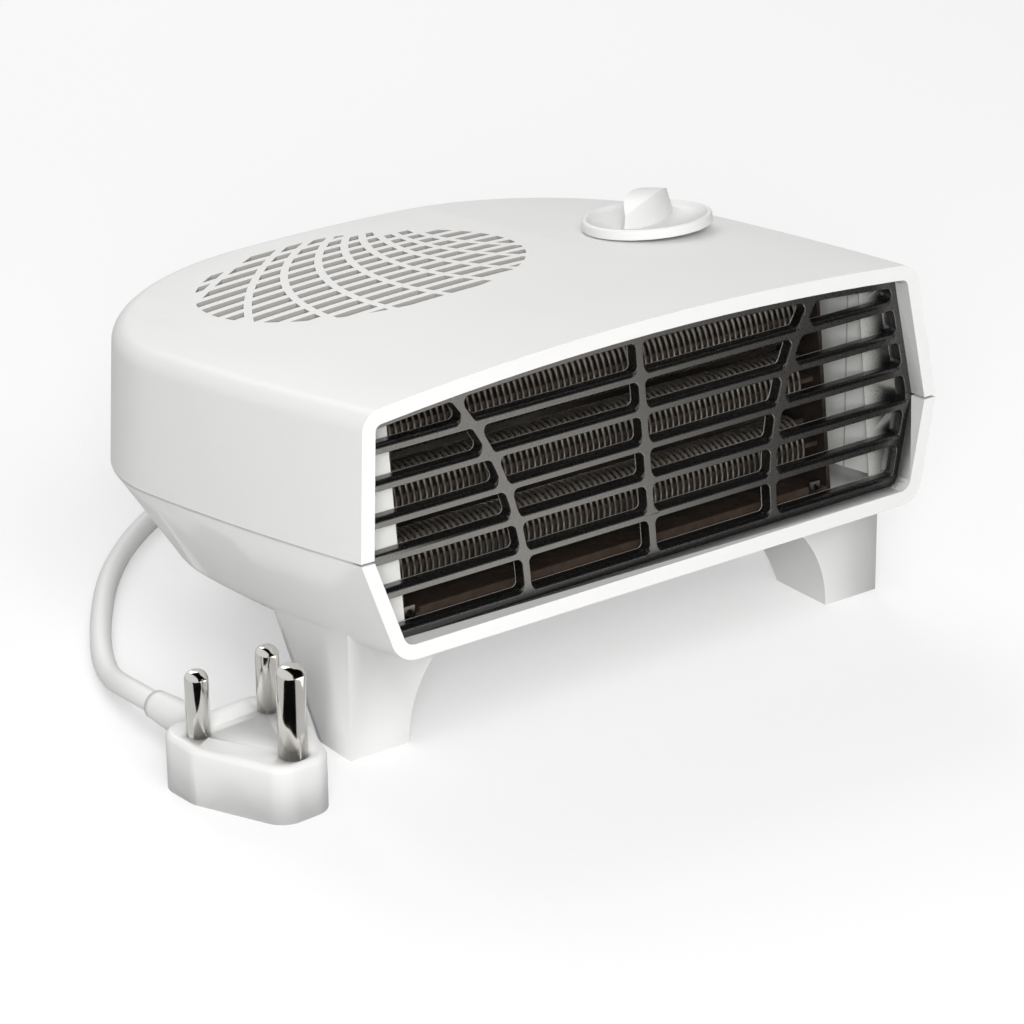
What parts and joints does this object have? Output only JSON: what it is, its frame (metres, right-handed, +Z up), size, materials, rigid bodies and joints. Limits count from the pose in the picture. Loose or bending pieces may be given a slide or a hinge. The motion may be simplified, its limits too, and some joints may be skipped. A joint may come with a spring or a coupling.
{
  "type": "fan heater",
  "caption": "Flat fan heater: crowned two-part casing on legs, slotted top intake, front grille over resistance coils, rotary knob, blower inside, lead with a three-pin plug.",
  "frame": {"origin": "on the floor under the middle of the casing", "axes": "+Z up, -Y out of the front grille, +X to the right of someone who looks at the front"},
  "size_m": [0.2689, 0.3307, 0.1203],
  "materials": {
    "casing": "satin white",
    "knob": "satin white",
    "grille": "satin black",
    "duct": "pale grey",
    "mica": "brown board",
    "resistance_wire": "oxidised",
    "terminals": "plain",
    "steel": "plain",
    "laminations": "plain",
    "bronze": "sintered",
    "copper": "enamelled",
    "bobbin": "natural",
    "wheel": "black",
    "switch": "black",
    "spindle": "natural",
    "terminal_block": "natural",
    "lead": "white",
    "tie": "black",
    "plug": "white",
    "pins": "nickel plated"
  },
  "bodies": {
    "housing": {"upper_shell": "casing", "lower_shell": "casing", "front_grille": "grille", "blower_scroll": "duct", "mica_end_board_left": "mica", "mica_end_board_right": "mica", "mica_top_board": "mica", "mica_bottom_board": "mica", "mica_core_1": "mica", "mica_core_2": "mica", "mica_core_3": "mica", "heating_coil_1": "resistance_wire", "heating_coil_2": "resistance_wire", "heating_coil_3": "resistance_wire", "element_terminals": "terminals", "thermal_cutout": "steel", "motor_screws": "steel", "case_screws": "steel", "switch_plate": "steel", "switch_screws": "steel", "bearing_bracket_upper": "steel", "bearing_bracket_lower": "steel", "stator_stack": "laminations", "motor_bushes": "bronze", "motor_winding": "copper", "motor_bobbin": "bobbin", "selector_switch": "switch", "terminal_block": "terminal_block", "cord_gland": "lead", "inner_cord": "lead", "cord_tail": "lead", "cord_coil": "lead", "cord_run": "lead", "plug_sleeve": "lead", "coil_tie": "tie", "plug_body": "plug", "plug_line_pins": "pins", "plug_earth_pin": "pins"},
    "fan": {"blower_wheel": "wheel", "motor_shaft": "steel", "motor_rotor": "laminations"},
    "knob": {"control_knob": "knob", "switch_spindle": "spindle"}
  },
  "joints": [
    {"name": "fan_spin", "type": "hinge", "parent": "housing", "child": "fan", "pos_m": [-0.0225, 0.02762, 0.05738], "axis": [0, 0.1167, 0.9932], "continuous": true},
    {"name": "knob_turn", "type": "hinge", "parent": "housing", "child": "knob", "pos_m": [0.073, 0.00289, 0.06028], "axis": [0, -0.1167, -0.9932], "range_deg": [0, 270]}
  ]
}
